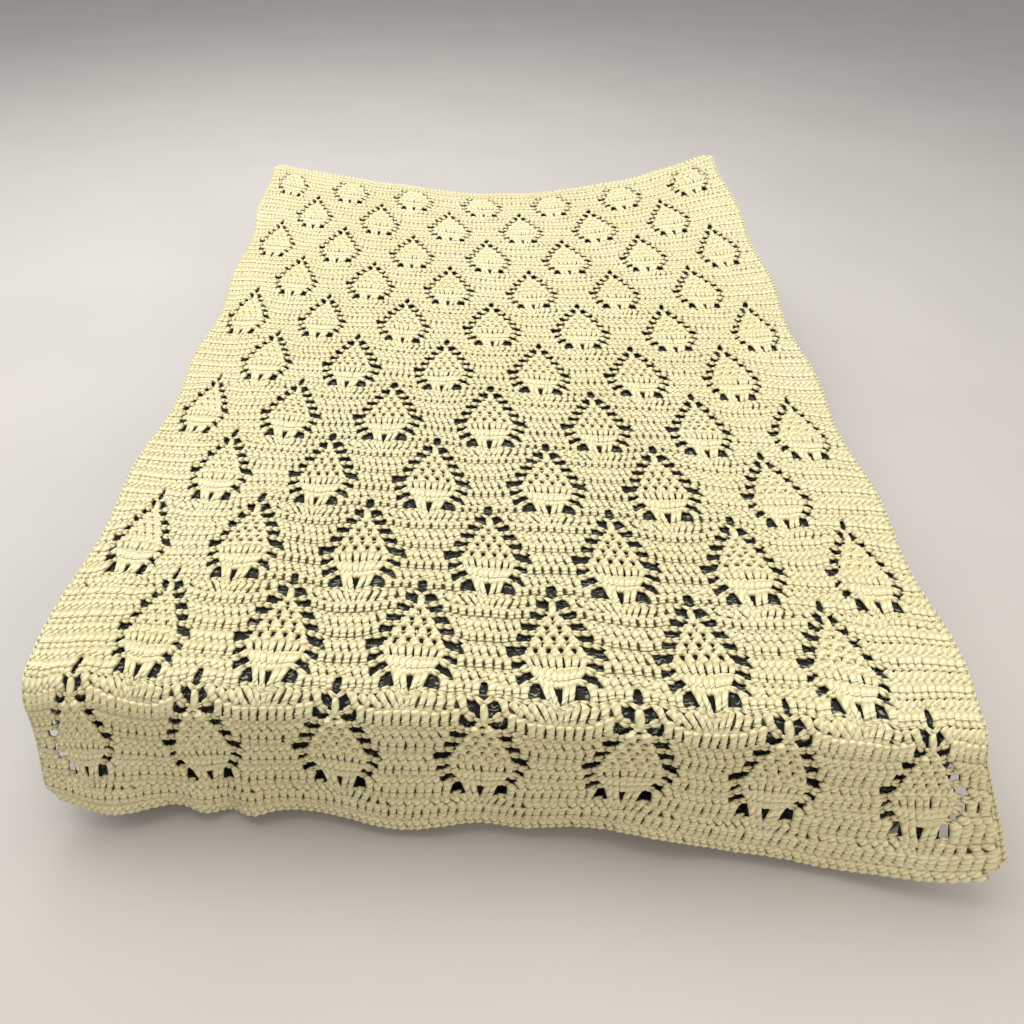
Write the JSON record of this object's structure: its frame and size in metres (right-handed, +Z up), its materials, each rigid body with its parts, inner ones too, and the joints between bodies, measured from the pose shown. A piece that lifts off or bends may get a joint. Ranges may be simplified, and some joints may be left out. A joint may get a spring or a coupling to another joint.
{
  "type": "crochet afghan on a mattress",
  "caption": "Openwork crochet afghan with staggered pineapple motifs, laid on a plain mattress, its near end falling over the front edge.",
  "frame": {"origin": "on the floor, at the middle of the footprint", "axes": "+Y from the front edge that the cloth falls over to the far end, +X to the right seen from the front, +Z up"},
  "size_m": [0.85, 1.2016, 0.2492],
  "materials": {
    "yarn": "soft plied worsted yarn, matt with a slight sheen",
    "mattress_cover": "dark flecked woven cover, matt"
  },
  "bodies": {
    "root": {"afghan": "yarn", "mattress": "mattress_cover"}
  },
  "joints": []
}
